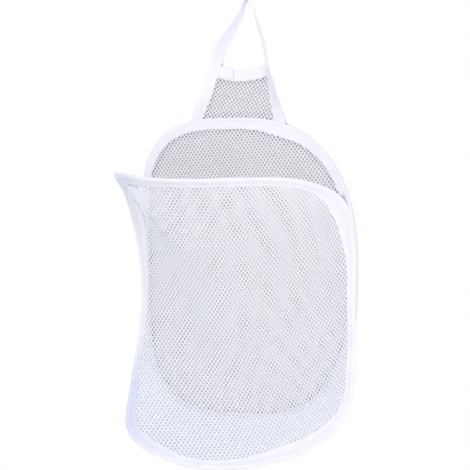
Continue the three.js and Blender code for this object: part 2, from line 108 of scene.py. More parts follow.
def back_wire(share):
    """The back loop's wire; the share counts a whole turn from the right-hand side."""
    angle = 2 * math.pi * share
    across = signed_power(math.cos(angle), 2 / loop_roundness)
    up = signed_power(math.sin(angle), 2 / loop_roundness)
    lean = (crown_lean if up > 0 else foot_lean) * up * up
    x = back_offset + back_half_width * across - lean
    return Vector((x, 0, -back_drop + back_half_height * up))

# %% The front loop
front_half_width = 165 * mm
front_half_height = 202 * mm
front_drop = 463 * mm
mouth_reach = 145 * mm
front_loop_shares = [
    (-0.99, 1.00, 0.83), (-1.01, 0.88, 0.52), (-0.96, 0.58, 0.34), (-0.91, 0.23, 0.31),
    (-0.91, -0.14, 0.41), (-0.93, -0.49, 0.60), (-0.89, -0.79, 0.83), (-0.57, -0.94, 0.94),
    (-0.15, -1.00, 0.95), (0.30, -0.96, 0.87), (0.70, -0.85, 0.73), (0.96, -0.61, 0.56),
    (1.00, -0.26, 0.42), (0.99, 0.12, 0.35), (0.99, 0.50, 0.37), (0.91, 0.82, 0.48),
    (0.61, 0.95, 0.67), (0.20, 0.97, 0.85), (-0.24, 0.96, 0.97), (-0.67, 0.97, 0.98),
]
front_row_count = len(front_loop_shares)
front_rows = [
    Vector((front_half_width * x, -mouth_reach * y, -front_drop + front_half_height * z))
    for x, z, y in front_loop_shares
]


def smooth_between(before, start, end, after, share):
    """A point on the smooth curve between two rows, with the rows before and after them."""
    rows = (before, start, end, after)
    first, middle, last = (max((b - a).length ** 0.5, 1e-6) for a, b in zip(rows, rows[1:]))
    lean_in = (start - before) / first - (end - before) / (first + middle) + (end - start) / middle
    lean_out = (end - start) / middle - (after - start) / (middle + last) + (after - end) / last
    lean_in, lean_out = lean_in * middle, lean_out * middle
    return (start + lean_in * share
            + (3 * (end - start) - 2 * lean_in - lean_out) * share ** 2
            + (2 * (start - end) + lean_in + lean_out) * share ** 3)


def front_wire(share):
    """The front loop's wire; the share counts a whole turn from the bent left corner, downwards."""
    place = (share % 1) * front_row_count
    row = int(place)
    rows = [front_rows[(row + step) % front_row_count] for step in (-1, 0, 1, 2)]
    return smooth_between(*rows, place - row)


print("front loop's corner", [round(x / mm) for x in front_wire(0)])

# %% [markdown]
# ## A panel inside each loop
# A net panel hangs inside each loop like a skin on a drum. The back one is flat. The middle of
# the front one stands a set distance off the wall, and it turns up to its rim towards the edge.
# One small class keeps a loop and its panel together: where the wire runs, which way is inward
# along the panel, which way is the front, and how deep the panel lies at any place.

# %% A loop with its panel
rim_samples = 1440
slope_step = 1e-4


def run_along(outline):
    """How far along an outline each of its points lies."""
    return np.concatenate([[0], np.cumsum(np.linalg.norm(np.diff(outline, axis=0), axis=1))])


class Loop:
    def __init__(self, wire, centre, middle_reach, belly_power):
        self.wire, self.centre = wire, Vector(centre)
        self.middle_reach, self.belly_power = middle_reach, belly_power
        rim = np.array([wire(i / rim_samples) for i in range(rim_samples)])
        away = rim[:, [0, 2]] - np.array([self.centre.x, self.centre.z])
        angle = np.arctan2(away[:, 1], away[:, 0])
        order = np.argsort(angle)
        angle, away, reach = angle[order], away[order], -rim[order, 1]
        radius = np.hypot(away[:, 0], away[:, 1])
        turn = 2 * math.pi
        self.rim_angle = np.concatenate([[angle[-1] - turn], angle, [angle[0] + turn]])
        self.rim_radius = np.concatenate([[radius[-1]], radius, [radius[0]]])
        self.rim_reach = np.concatenate([[reach[-1]], reach, [reach[0]]])

    def panel(self, x, z):
        """The panel's y, and how far the rim is, at one or many places."""
        dx, dz = np.asarray(x) - self.centre.x, np.asarray(z) - self.centre.z
        angle = np.arctan2(dz, dx)
        radius = np.interp(angle, self.rim_angle, self.rim_radius)
        reach = np.interp(angle, self.rim_angle, self.rim_reach)
        out = np.hypot(dx, dz)
        rise = (out / radius) ** self.belly_power
        depth = self.middle_reach + (reach - self.middle_reach) * rise
        return -depth, radius - out

    def frame(self, share):
        """The wire's point, and the ways along it, inward along the panel, and to the front."""
        point = self.wire(share)
        along = (self.wire(share + slope_step) - self.wire(share - slope_step)).normalized()
        rise = self.belly_power * (-point.y - self.middle_reach)
        inward = Vector((self.centre.x - point.x, rise, self.centre.z - point.z))
        inward = (inward - along * inward.dot(along)).normalized()
        front = inward.cross(along).normalized()
        if front.y > 0:
            front.negate()
        return point, along, inward, front

    def shares(self, start, finish, steps):
        """Shares from start to finish at equal distances along the wire."""
        fine = np.linspace(start, finish, steps * 16 + 1)
        lengths = run_along(np.array([self.wire(s) for s in fine]))
        return np.interp(np.linspace(0, lengths[-1], steps + 1), lengths, fine), lengths[-1]


belly_reach = 92 * mm
back_loop = Loop(back_wire, (back_offset, 0, -back_drop), 0, 2.5)
front_loop = Loop(front_wire, (0, 0, -front_drop), belly_reach, 2.5)
for name, loop in (("back", back_loop), ("front", front_loop)):
    print(name, "wire is", round(loop.shares(0, 1, 90)[1] / mm), "mm long")

# %% [markdown]
# ## How sheets are laid
# Tape, webbing and cloth all start flat, so each sheet here starts as a flat grid. A function then
# says where each point of the flat grid lies on the hamper. The grid's UV map keeps the flat place
# in metres, so that a weave has its real size and follows the cloth round every bend. Solidify
# gives the cloth its thickness, and its two layers count as one sheet.

# %% Tools for one piece at a time
def alone(piece):
    """Selects one piece and nothing else."""
    bpy.ops.object.select_all(action="DESELECT")
    piece.select_set(True)
    bpy.context.view_layer.objects.active = piece


def apply_all(piece):
    alone(piece)
    for modifier in list(piece.modifiers):
        bpy.ops.object.modifier_apply(modifier=modifier.name)


def merge_doubles(piece, distance=0.01 * mm):
    alone(piece)
    bpy.ops.object.mode_set(mode="EDIT")
    bpy.ops.mesh.select_all(action="SELECT")
    bpy.ops.mesh.remove_doubles(threshold=distance)
    bpy.ops.object.mode_set(mode="OBJECT")


def face_outward(piece):
    alone(piece)
    bpy.ops.object.mode_set(mode="EDIT")
    bpy.ops.mesh.select_all(action="SELECT")
    bpy.ops.mesh.normals_make_consistent(inside=False)
    bpy.ops.object.mode_set(mode="OBJECT")


def thicken(piece, thickness):
    """Gives a sheet its thickness, half on each side."""
    wall = piece.modifiers.new("thickness", "SOLIDIFY")
    wall.thickness = thickness
    wall.offset = 0
    apply_all(piece)
    face_outward(piece)
    bpy.ops.object.shade_smooth_by_angle(angle=math.radians(50))

# %% Laying a sheet
def lay_sheet(name, length, width, steps_long, steps_wide, place, thickness, closed=False):
    """A flat grid of a real size, whose point in row i and column j is laid at place(i, j)."""
    bpy.ops.mesh.primitive_grid_add(x_subdivisions=steps_long, y_subdivisions=steps_wide, size=1)
    piece = bpy.context.object
    piece.name = piece.data.name = name
    flat = np.array([v.co for v in piece.data.vertices])[:, :2] + 0.5
    steps = np.rint(flat * [steps_long, steps_wide]).astype(int)
    for vertex, (i, j) in zip(piece.data.vertices, steps):
        vertex.co = place(int(i), int(j))
    corners = [loop.vertex_index for loop in piece.data.loops]
    laid = flat[corners] * [length, width]
    piece.data.uv_layers.active.data.foreach_set("uv", laid.ravel())
    if closed:
        merge_doubles(piece)
    thicken(piece, thickness)
    print(name, "is", round(length / mm), "by", round(width / mm, 1), "mm flat,",
          len(piece.data.polygons), "faces")
    return piece

# %% [markdown]
# ## The tape folded over each wire
# A tape is folded lengthwise round the wire, so that it makes a round bead outside and two flat
# flanges inside, with the net between them. Half of the fold's outline is given by a few points,
# inward and forward of the wire, and the other half mirrors it. The tape is a little uneven along
# its length, as a sewn tape is, because the machine feeds its two layers differently.

# %% The folded tape
tape_thickness = 0.7 * mm
half_fold = np.array([
    (-2.15, 0), (-2.0, 0.8), (-1.4, 1.5), (-0.5, 1.95), (0.5, 2.05), (1.5, 1.9),
    (2.6, 1.55), (3.8, 1.2), (5.2, 0.93), (7.0, 0.7), (10.2, 0.62),
]) * mm
fold_outline = np.vstack([half_fold[::-1], half_fold[1:] * [1, -1]])
fold_lengths = run_along(fold_outline)
tape_width = float(fold_lengths[-1])
tape_steps_wide = 24
flange_start, flange_depth, flange_loose = 4 * mm, 6.2 * mm, 10 * mm
lie_start, lie_blend = 3 * mm, 5 * mm
edge_wave, edge_wave_size = 0.35 * mm, 14 * mm
face_puff, face_puff_size = 0.16 * mm, 5 * mm
crown_foot_drop, crown_rise = 250 * mm, 60 * mm
crown_even_extra, crown_peak_extra = 4 * mm, 3.8 * mm
crown_peak_x, crown_peak_spread = 50 * mm, 36 * mm
tip_pull, tip_spread = 3.5 * mm, 4.5 * mm
bead_middle, bead_run = 2 * mm, 4 * mm


def uneven(place, size, seed):
    """A smooth random value from about -1 to 1 that changes over a given size."""
    return noise.noise(Vector(place) / size + Vector((seed, seed, seed)))


def crown_extra(point):
    """How much wider the back tape's flanges are along the crown, where the strap is sewn in."""
    height = min(max((point.z + crown_foot_drop) / crown_rise, 0), 1)
    peak = math.exp(-((point.x - crown_peak_x) / crown_peak_spread) ** 2)
    return height * (crown_even_extra + crown_peak_extra * peak)


front_tip = front_wire(0)
gathers = [
    (front_wire(row / front_row_count), size * mm, above * mm, below * mm)
    for row, size, above, below in (
        (14.95, 13, 33, 70), (6.35, 5, 60, 60), (9.6, 7, 60, 60), (1.4, 24, 58, 75))
]


def front_extra(point):
    """Where the front tape is gathered wider: the upper right corner, the two lower ones and down
    from the sharp left corner. Each place has its size, and its spread above and below."""
    extra = 0.0
    for middle, size, above, below in gathers:
        spread = above if point.z > middle.z else below
        extra = max(extra, size * math.exp(-((point - middle).length / spread) ** 2))
    return extra


def pointed(point):
    """How far the front tape's fold is pulled out to a point at the sharp left corner."""
    return tip_pull * math.exp(-((point - front_tip).length / tip_spread) ** 2)

# %% [markdown]
# The grid's width runs once round the fold. Each row of it is set square to the wire, and the
# flanges are pulled down onto the panel, so that they lie against the net. Where a tape is wider,
# only its flanges reach further in, and the bead round the wire stays as it is.

# %% Laying a folded tape
def reach_with(extra, point, reach):
    """A reach inward on the tape, with the extra width spread over its flanges alone."""
    return reach + extra(point) * max(0.0, (reach - flange_start) / flange_depth)


def lay_tape(name, loop, steps, seed, extra):
    shares, length = loop.shares(0, 1, steps)
    frames = [loop.frame(s) for s in shares]
    across = np.linspace(0, tape_width, tape_steps_wide + 1)
    inward_at = np.interp(across, fold_lengths, fold_outline[:, 0])
    front_at = np.interp(across, fold_lengths, fold_outline[:, 1])

    def place(i, j):
        point, along, inward, front = frames[i % steps]
        a, b = inward_at[j], front_at[j]
        loose = max(0.0, a / flange_loose)
        a = reach_with(extra, point, a)
        side = 1 if b > 0 else -1
        edge = edge_wave * uneven(point, edge_wave_size, seed + side)
        puff = face_puff * uneven(point, face_puff_size, seed + 3 * side) * (1 - loose * 0.5)
        if loop is front_loop:
            a -= pointed(point) * max(0.0, 1 - abs(a + bead_middle) / bead_run)
        laid = point + inward * (a + loose * edge)
        lie = min(max((a - lie_start) / lie_blend, 0), 1)
        laid.y += lie * (float(loop.panel(laid.x, laid.z)[0]) - laid.y)
        return laid + front * (b + side * puff)

    piece = lay_sheet(name, length, tape_width, steps, tape_steps_wide, place,
                      tape_thickness, closed=True)
    widths = [tape_width + 2 * extra(f[0]) for f in frames]
    return piece, length, (max(widths), length), sum(widths) / steps * length


back_tape, back_tape_length, back_tape_flat, back_tape_area = lay_tape(
    "back_tape", back_loop, 700, 1.5, crown_extra)
front_tape, front_tape_length, front_tape_flat, front_tape_area = lay_tape(
    "front_tape", front_loop, 760, 7.5, front_extra)

# %% [markdown]
# ## The net
# The net is knitted with rows of upright oval holes, every second row shifted by half a hole. One
# cell of it is modelled: a small hexagon that is extruded outwards, so that six faces go round
# an oval hole. Array modifiers repeat the cell in rows, a shifted copy fills the rows between, and
# the cells that the tape does not reach are deleted. Then the net is laid on its panel and
# thickened. The holes are real, so the wall shows through them from every side.

# %% One cell of the net
net_pitch_across = 5.5 * mm
net_pitch_up = 7.95 * mm
cell_top = 2.95 * mm
cell_shoulder = net_pitch_up / 2 - cell_top
hole_half_width = 1.52 * mm
hole_half_height = 2.04 * mm
net_thickness = 0.42 * mm
hexagon_width = math.cos(math.radians(30))


def select_faces(piece, wanted):
    """Selects faces by a list of true and false, for the next step in edit mode."""
    bpy.context.tool_settings.mesh_select_mode = (False, False, True)
    piece.data.vertices.foreach_set("select", np.zeros(len(piece.data.vertices), bool))
    piece.data.edges.foreach_set("select", np.zeros(len(piece.data.edges), bool))
    piece.data.polygons.foreach_set("select", np.asarray(wanted, bool))


def net_cell():
    bpy.ops.mesh.primitive_circle_add(vertices=6, radius=1, fill_type="NOTHING")
    cell = bpy.context.object
    bpy.ops.object.mode_set(mode="EDIT")
    bpy.ops.mesh.select_all(action="SELECT")
    bpy.ops.transform.resize(value=(hole_half_width / hexagon_width, hole_half_height, 1))
    bpy.ops.mesh.extrude_edges_move()
    bpy.ops.transform.resize(value=(
        net_pitch_across / 2 / hole_half_width, cell_top / hole_half_height, 1))
    bpy.ops.object.mode_set(mode="OBJECT")
    for vertex in cell.data.vertices:
        if abs(vertex.co.x) > net_pitch_across / 2.2:
            vertex.co.y = math.copysign(cell_shoulder, vertex.co.y)
    return cell

# %% A flat net, and how it is laid
def turned(degrees, across=1.0, up=1.0):
    """A way to lay the cloth: stretched across and up, and turned."""
    turn = math.radians(degrees)
    return lambda u, v: (across * u * math.cos(turn) - up * v * math.sin(turn),
                         across * u * math.sin(turn) + up * v * math.cos(turn))


def flat_net(name, centre, width, height, drawn, keep):
    """A net in the plane of x and z, with the cells for which keep(x, z) is true.

    drawn(u, v) says how the flat cloth is turned and drawn out of square.
    """
    across = int(math.hypot(width, height) / net_pitch_across) + 2
    up = int(math.hypot(width, height) / net_pitch_up) + 2
    net = net_cell()
    for axis, count, pitch in ((0, across, net_pitch_across), (1, up, net_pitch_up)):
        row = net.modifiers.new("rows", "ARRAY")
        row.count = count
        row.use_relative_offset = False
        row.use_constant_offset = True
        row.constant_offset_displace = [pitch if k == axis else 0 for k in range(3)]
    apply_all(net)
    bpy.ops.object.duplicate(linked=False)
    bpy.ops.transform.translate(value=(net_pitch_across / 2, net_pitch_up / 2, 0))
    bpy.ops.object.transform_apply(location=True, rotation=False, scale=False)
    net.select_set(True)
    bpy.context.view_layer.objects.active = net
    bpy.ops.object.join()
    net.name = net.data.name = name
    flat = np.array([v.co for v in net.data.vertices])[:, :2]
    flat -= [across * net_pitch_across / 2, up * net_pitch_up / 2]
    x, z = drawn(flat[:, 0], flat[:, 1])
    x, z = x + centre[0], z + centre[1]
    faces = np.array([list(p.vertices) for p in net.data.polygons]).reshape(-1, 6 * 4)
    middle_x, middle_z = x[faces].mean(axis=1), z[faces].mean(axis=1)
    kept = keep(middle_x, middle_z)
    laid = np.stack([x, np.zeros(len(x)), z], axis=1)
    net.data.vertices.foreach_set("co", laid.ravel())
    select_faces(net, np.repeat(~kept, 6))
    bpy.ops.object.mode_set(mode="EDIT")
    bpy.ops.mesh.delete(type="FACE")
    bpy.ops.object.mode_set(mode="OBJECT")
    merge_doubles(net, 0.02 * mm)
    print(name, "has", int(kept.sum()), "cells")
    return net


def lay_net(net, depth_at):
    """Lays a flat net on a panel whose y is depth_at(x, z), and gives it its thickness."""
    flat = np.array([v.co for v in net.data.vertices])
    flat[:, 1] = depth_at(flat[:, 0], flat[:, 2])
    net.data.vertices.foreach_set("co", flat.ravel())
    net.data.update()
    face_outward(net)
    thicken(net, net_thickness)
    print(net.name, "is", sum(len(p.vertices) - 2 for p in net.data.polygons), "triangles")

# %% [markdown]
# Both nets start flat and square. The back one is only turned a little. The front one is drawn out
# of square by its sprung loop, which makes its rows lean and crowd, so its flat cells are moved by
# a smooth rule first. Both sag a little here and there, but not near the tape that holds them.

# %% The back and front nets
sag_size = 55 * mm
sag_start, sag_blend = 33 * mm, 20 * mm


def panel_net(name, loop, half_width, half_height, drawn, sag, seed, net_edge):
    centre = (loop.centre.x, loop.centre.z)

    def keep(x, z):
        return loop.panel(x, z)[1] > net_edge

    def depth(x, z):
        y, inside = loop.panel(x, z)
        waves = np.array([uneven((px, 0, pz), sag_size, seed) for px, pz in zip(x, z)])
        return y + sag * waves * np.clip((inside - sag_start) / sag_blend, 0, 1)

    net = flat_net(name, centre, 2 * half_width, 2 * half_height, drawn, keep)
    lay_net(net, depth)
    return net


def softly_past(value, start, blend):
    """Zero before the start, then as far past it as the value is, with a soft turn between."""
    return blend * np.logaddexp(0, (value - start) / blend)


def front_drawn(u, v):
    """The front net is stretched by its sprung loop: its columns lean, and its rows are crowded
    towards the right and climb there."""
    x = 1.13 * u - 0.125 * v - 0.31 * softly_past(u, 30 * mm, 30 * mm) + 0.36 * v * v
    climb = 0.285 * softly_past(u, 6 * mm, 19 * mm)
    z = 0.97 * v + climb - 0.15 * u * u - 0.25 * u * v + 0.22 * v * v
    return x, z


back_net = panel_net("back_net", back_loop, back_half_width, back_half_height, turned(4),
                     0.9 * mm, 2.5, 8.4 * mm)
front_net = panel_net("front_net", front_loop, front_half_width, front_half_height, front_drawn,
                      3 * mm, 6.5, 3.6 * mm)

# %% [markdown]
# ## The gusset
# The gusset is a strip of smooth thin cloth. Its two long edges are caught in the two tapes, and
# its width changes all the way round, because the front loop is bent. It is laid as a grid from
# one seam to the other, stands out a little between them, and has soft folds that run across it,
# because the cloth is held at the seams and loose between them.

# %% The gusset
left_mouth_drop = 264 * mm
right_mouth_drop = 286 * mm
front_right_corner_share = 15 / front_row_count
seam_depth = 7 * mm
gusset_seat = 2.0 * mm
gusset_thickness = 0.35 * mm
gusset_billow_share = 0.06
gusset_long, gusset_wide = 420, 40
fold_run, fold_size, small_fold_size = 22 * mm, 17 * mm, 9 * mm
fold_depth = 2.2 * mm


def back_share_at(drop):
    """The back loop's share where it passes a height on the right."""
    height = (back_drop - drop) / back_half_height
    return math.asin(height ** (loop_roundness / 2)) / (2 * math.pi)


back_shares, back_run = back_loop.shares(
    0.5 - back_share_at(left_mouth_drop), 1 + back_share_at(right_mouth_drop), gusset_long)
front_shares, front_run = front_loop.shares(0, front_right_corner_share, gusset_long)
gusset_ends = []
for back_at, front_at in zip(back_shares, front_shares):
    point, along, inward, front = back_loop.frame(back_at)
    start = point + inward * seam_depth + front * gusset_seat
    out = -inward
    point, along, inward, front = front_loop.frame(front_at)
    gusset_ends.append((start, point + inward * seam_depth - front * gusset_seat, out))


def gusset_at(i, j):
    start, end, out = gusset_ends[i]
    share = j / gusset_wide
    width = (end - start).length
    held = math.sin(math.pi * share)
    along = i / gusset_long * back_run
    folds = uneven((along, share * fold_run, 0), fold_size, 4.5)
    folds += 0.5 * uneven((along, share * width, 0), small_fold_size, 8.5)
    stand = gusset_billow_share * width * held + fold_depth * folds * held ** 0.7
    return start.lerp(end, share) + out * stand


gusset_widths = [(end - start).length for start, end, out in gusset_ends]
gusset_width = max(gusset_widths)
gusset_run = (back_run + front_run) / 2
gusset_cloth = lay_sheet("gusset_cloth", gusset_run, gusset_width, gusset_long,
                         gusset_wide, gusset_at, gusset_thickness)

# %% [markdown]
# ## The hems of the mouth
# Each end of the gusset, where the mouth begins, is finished by a tape folded over the raw edge
# and stitched. It runs from the back tape to the front one along the edge.

# %% The two hems
hem_flange = 9.2 * mm
hem_gap = 0.75 * mm
hem_thickness = 0.6 * mm
hem_steps, hem_wide = 60, 16
hem_start, hem_end = 0.02, 0.90
hem_outline = np.array([
    (hem_flange, hem_gap), (1 * mm, hem_gap), (-0.2 * mm, 0.5 * mm), (-0.6 * mm, 0),
    (-0.2 * mm, -0.5 * mm), (1 * mm, -hem_gap), (hem_flange, -hem_gap),
])
hem_lengths = run_along(hem_outline)
hem_wave, hem_wave_size = 0.3 * mm, 12 * mm
hem_look = 0.02


def gusset_row(i):
    return [gusset_at(i, j) for j in range(gusset_wide + 1)]


def along_row(row, share):
    """The point at a share of the way along one row of the gusset."""
    low = min(int(share * gusset_wide), gusset_wide - 1)
    return row[low].lerp(row[low + 1], share * gusset_wide - low)


def length_of(points):
    return sum((b - a).length for a, b in zip(points, points[1:]))


def lay_hem(name, end, seed):
    step = 1 if end == 0 else -1
    edge, beyond = gusset_row(end), gusset_row(end + 3 * step)
    length = length_of(edge)

    def place(i, j):
        share = hem_start + (hem_end - hem_start) * i / hem_steps
        point = along_row(edge, share)
        before, after = max(share - hem_look, 0), min(share + hem_look, 1)
        cross = (along_row(edge, after) - along_row(edge, before)).normalized()
        into = (along_row(beyond, share) - point).normalized()
        into = (into - cross * into.dot(cross)).normalized()
        out = into.cross(cross).normalized()
        at = hem_lengths[-1] * j / hem_wide
        a, b = (float(np.interp(at, hem_lengths, side)) for side in hem_outline.T)
        wave = hem_wave * uneven(point, hem_wave_size, seed) * max(a, 0) / hem_flange
        return point + into * (a + wave) + out * b

    hem = lay_sheet(name, length, float(hem_lengths[-1]), hem_steps, hem_wide, place, hem_thickness)
    return hem, length


left_hem, left_hem_length = lay_hem("left_hem", 0, 3.5)
right_hem, right_hem_length = lay_hem("right_hem", gusset_long, 5.5)

# %% [markdown]
# ## The hanging strap
# The strap is one length of webbing. It leaves the back tape flat on the wall, turns edge on as
# it climbs, goes over the hook, and comes down again to the right. Its inner edge stays on the
# wall and its outer edge swings forward. The rows say how far across and down the middle line is,
# and how far the webbing is turned, in degrees.

# %% The strap
strap_width = 18 * mm
strap_thickness = 1.2 * mm
strap_drop = 174 * mm
strap_reach = 81 * mm
strap_rows = [
    (-1.00, 0.99, 0), (-0.82, 0.81, 4), (-0.62, 0.535, 13), (-0.515, 0.41, 33),
    (-0.335, 0.285, 53), (-0.145, 0.155, 74), (-0.06, 0.045, 87), (0, 0, 90),
    (0.10, 0.055, 84), (0.17, 0.165, 70), (0.28, 0.32, 68), (0.355, 0.48, 66),
    (0.38, 0.56, 64), (0.43, 0.69, 54), (0.505, 0.855, 36), (0.60, 1.02, 5),
]
strap_points = [
    Vector((strap_reach * across, 0, strap_thickness / 2 - strap_drop * drop))
    for across, drop, turn in strap_rows
]
first_beyond = 2 * strap_points[0] - strap_points[1]
last_beyond = 2 * strap_points[-1] - strap_points[-2]
strap_points = [first_beyond, *strap_points, last_beyond]
strap_long, strap_wide = 260, 16


def strap_line(share):
    """The place and the turn on the strap's route, for a share from 0 to 1."""
    place = min(max(share, 0), 1) * (len(strap_rows) - 1)
    row = min(int(place), len(strap_rows) - 2)
    turn = strap_rows[row][2] + (strap_rows[row + 1][2] - strap_rows[row][2]) * (place - row)
    return smooth_between(*strap_points[row:row + 4], place - row), math.radians(turn)


def strap_frame(share):
    point, turn = strap_line(share)
    along = (strap_line(share + 0.001)[0] - strap_line(share - 0.001)[0]).normalized()
    side = Vector((along.z, 0, -along.x))
    across = side * math.cos(turn) + Vector((0, math.sin(turn), 0))
    middle = point - Vector((0, strap_width / 2 * math.sin(turn), 0))
    return middle, along, across, along.cross(across)


strap_frames = [strap_frame(i / strap_long) for i in range(strap_long + 1)]
strap_length = length_of([middle for middle, along, across, front in strap_frames])
foot_overlap, foot_slant, foot_share = 8 * mm, 5 * mm, 0.04
cup_depth = 0.35 * mm
strap_wave, strap_wave_size = 0.25 * mm, 16 * mm


def strap_at(i, j):
    middle, along, across, front = strap_frames[i]
    share = j / strap_wide - 0.5
    cup = cup_depth * math.cos(math.pi * share)
    wave = strap_wave * uneven(middle, strap_wave_size, 9.5)
    end = min(i, strap_long - i) / strap_long
    outward = abs(middle.x + across.x * share * strap_width) - abs(middle.x)
    sink = max(0, 1 - end / foot_share) * (foot_overlap + foot_slant * outward / (strap_width / 2))
    return middle + across * (share * strap_width) + front * (cup + wave) + Vector((0, 0, -sink))


strap = lay_sheet("strap", strap_length, strap_width, strap_long, strap_wide, strap_at,
                  strap_thickness)

# %% [markdown]
# ## The tab between the strap's legs
# A piece of the same net, cut askew, fills the space between the legs. Its upper edge is
# finished by a band of tape that is folded over it and hangs in a shallow curve. The net runs on
# a little behind the legs, where it is sewn to them.

# %% The tab's net and its band
band_height = 17 * mm
band_start_drop = 95 * mm
band_dip = 7 * mm
leg_overlap, band_overlap = 3 * mm, 5 * mm
crown_top_drop = back_drop - back_half_height - 2 * mm


def leg_inner(left):
    """Heights and places of one leg's inner edge, from the foot up."""
    top = max(range(strap_long + 1), key=lambda i: strap_frames[i][0].z)
    leg = strap_frames[:top + 1] if left else strap_frames[top:][::-1]
    side = -1 if left else 1
    edges = [middle + across * (strap_width / 2) for middle, along, across, front in leg]
    others = [middle - across * (strap_width / 2) for middle, along, across, front in leg]
    inner = [a if side * a.x < side * b.x else b for a, b in zip(edges, others)]
    heights = np.array([p.z for p in inner])
    places = np.array([p.x for p in inner])
    order = np.argsort(heights)
    return heights[order], places[order]


left_edge, right_edge = leg_inner(True), leg_inner(False)


def leg_x(edge, z):
    return np.interp(z, *edge)


def band_top(share):
    return -band_start_drop - band_dip * np.sin(math.pi * share)


def tab_keep(x, z):
    low = leg_x(left_edge, z) - leg_overlap
    high = leg_x(right_edge, z) + leg_overlap
    share = np.clip((x - low) / (high - low), 0, 1)
    top = band_top(share) - band_height + band_overlap
    return (x > low) & (x < high) & (z < top) & (z > -crown_top_drop - band_overlap)


tab_net = flat_net("tab_net", (-10 * mm, -145 * mm), 130 * mm, 100 * mm,
                   turned(-11.5, 1.05, 0.875), tab_keep)
lay_net(tab_net, lambda x, z: 0 * x)

# %% [markdown]
# The band is a tape folded over the net's upper edge. Its fold is drawn by a few points down and
# out from the middle, and it runs from one leg of the strap to the other.

# %% The band
band_steps, band_wide = 80, 22
band_outline = [
    (band_height, 0.85), (2 * mm, 0.85), (0.8 * mm, 0.8), (0.25 * mm, 0.5), (0, 0),
    (0.25 * mm, -0.5), (0.8 * mm, -0.8), (2 * mm, -0.85), (band_height, -0.85),
]
band_outline = np.array([(down, out * mm) for down, out in band_outline])
band_lengths = run_along(band_outline)
band_tuck, band_wave = 0.5 * mm, 0.5 * mm


def band_at(i, j):
    at = band_lengths[-1] * j / band_wide
    down, out = (float(np.interp(at, band_lengths, side)) for side in band_outline.T)
    share = i / band_steps
    z = band_top(share) - down
    left, right = leg_x(left_edge, z) - band_tuck, leg_x(right_edge, z) + band_tuck
    wave = band_wave * uneven((share, 0, down), 0.3, 2.5) * down / band_height
    return Vector((left + (right - left) * share, -out - wave, z))


band_length = float(leg_x(right_edge, -band_start_drop) - leg_x(left_edge, -band_start_drop))
tab_band = lay_sheet("tab_band", band_length, float(band_lengths[-1]), band_steps, band_wide,
                     band_at, 0.6 * mm)

# %% [markdown]
# ## The small bare tab at the foot
# A little piece of bare cloth is caught in the seam at the foot of the back panel, and its free
# end curls forward.

# %% The small tab
small_tab_width = 12 * mm
small_tab_length = 13 * mm
small_tab_long, small_tab_wide = 16, 14
small_tab_x = back_offset - 0.42 * back_half_width
small_tab_seat, small_tab_shown, small_tab_taper = 7 * mm, 0.92, 0.06
small_tab_lift, small_tab_curl, small_tab_wave = 2.0 * mm, 1.6 * mm, 0.3 * mm
small_tab_share = min(
    (s for s in np.linspace(0.5, 1, 400) if back_wire(s).z < -back_drop - back_half_height / 2),
    key=lambda s: abs(back_wire(s).x - small_tab_x))
small_tab_frame = back_loop.frame(small_tab_share)


def small_tab_at(i, j):
    point, along, inward, front = small_tab_frame
    share = i / small_tab_long
    side = (j / small_tab_wide - 0.5) * small_tab_width * (1 - small_tab_taper * share)
    lift = (small_tab_lift + small_tab_curl * share ** 2
            + small_tab_wave * uneven((side, share * 0.01, 0), 4 * mm, 5.5))
    run = small_tab_seat + small_tab_length * small_tab_shown * share
    return point + inward * run + along * side + front * lift


small_tab = lay_sheet("small_tab", small_tab_length, small_tab_width, small_tab_long,
                      small_tab_wide, small_tab_at, 0.45 * mm)

# %% [markdown]
# ## The wires of the front loop
# The front loop's wire and sleeve press towards the wall with the cloth, so each is a copy of the
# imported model's own mesh. The copy's loose triangles are merged first, and its faces smoothed.

# %% Copies of the front wire and sleeve
def copy_of(node, name):
    original = bpy.data.objects[node]
    piece = bpy.data.objects.new(name, original.data.copy())
    bpy.context.collection.objects.link(piece)
    piece.data.materials.clear()
    merge_doubles(piece, 0.001 * mm)
    bpy.ops.object.shade_smooth_by_angle(angle=math.radians(40))
    print(name, len(piece.data.polygons), "faces")
    return piece


front_wire_copy = copy_of("front_frame_wire", "front_wire")
front_sleeve_copy = copy_of("front_wire_sleeve", "front_sleeve")

# %% [markdown]
# ## The stitches
# A line of stitches holds every fold. One stitch is modelled: a short thick thread whose two ends
# dip into the cloth. It is copied at equal steps along each line.

# %% One stitch, and a line of them
stitch_pitch = 3.5 * mm
stitch_length = 2.7 * mm
thread_radius = 0.28 * mm
stitch_dip = 0.3 * mm


def one_stitch():
    bpy.ops.mesh.primitive_uv_sphere_add(segments=6, ring_count=6, radius=1)
    stitch = bpy.context.object
    bpy.ops.object.mode_set(mode="EDIT")
    bpy.ops.mesh.select_all(action="SELECT")
    bpy.ops.transform.rotate(value=math.radians(90), orient_axis="Y", center_override=(0, 0, 0))
    bpy.ops.transform.resize(value=(stitch_length / 2, thread_radius, thread_radius))
    bpy.ops.object.mode_set(mode="OBJECT")
    for vertex in stitch.data.vertices:
        vertex.co.z -= stitch_dip * (vertex.co.x / (stitch_length / 2)) ** 2
    return stitch


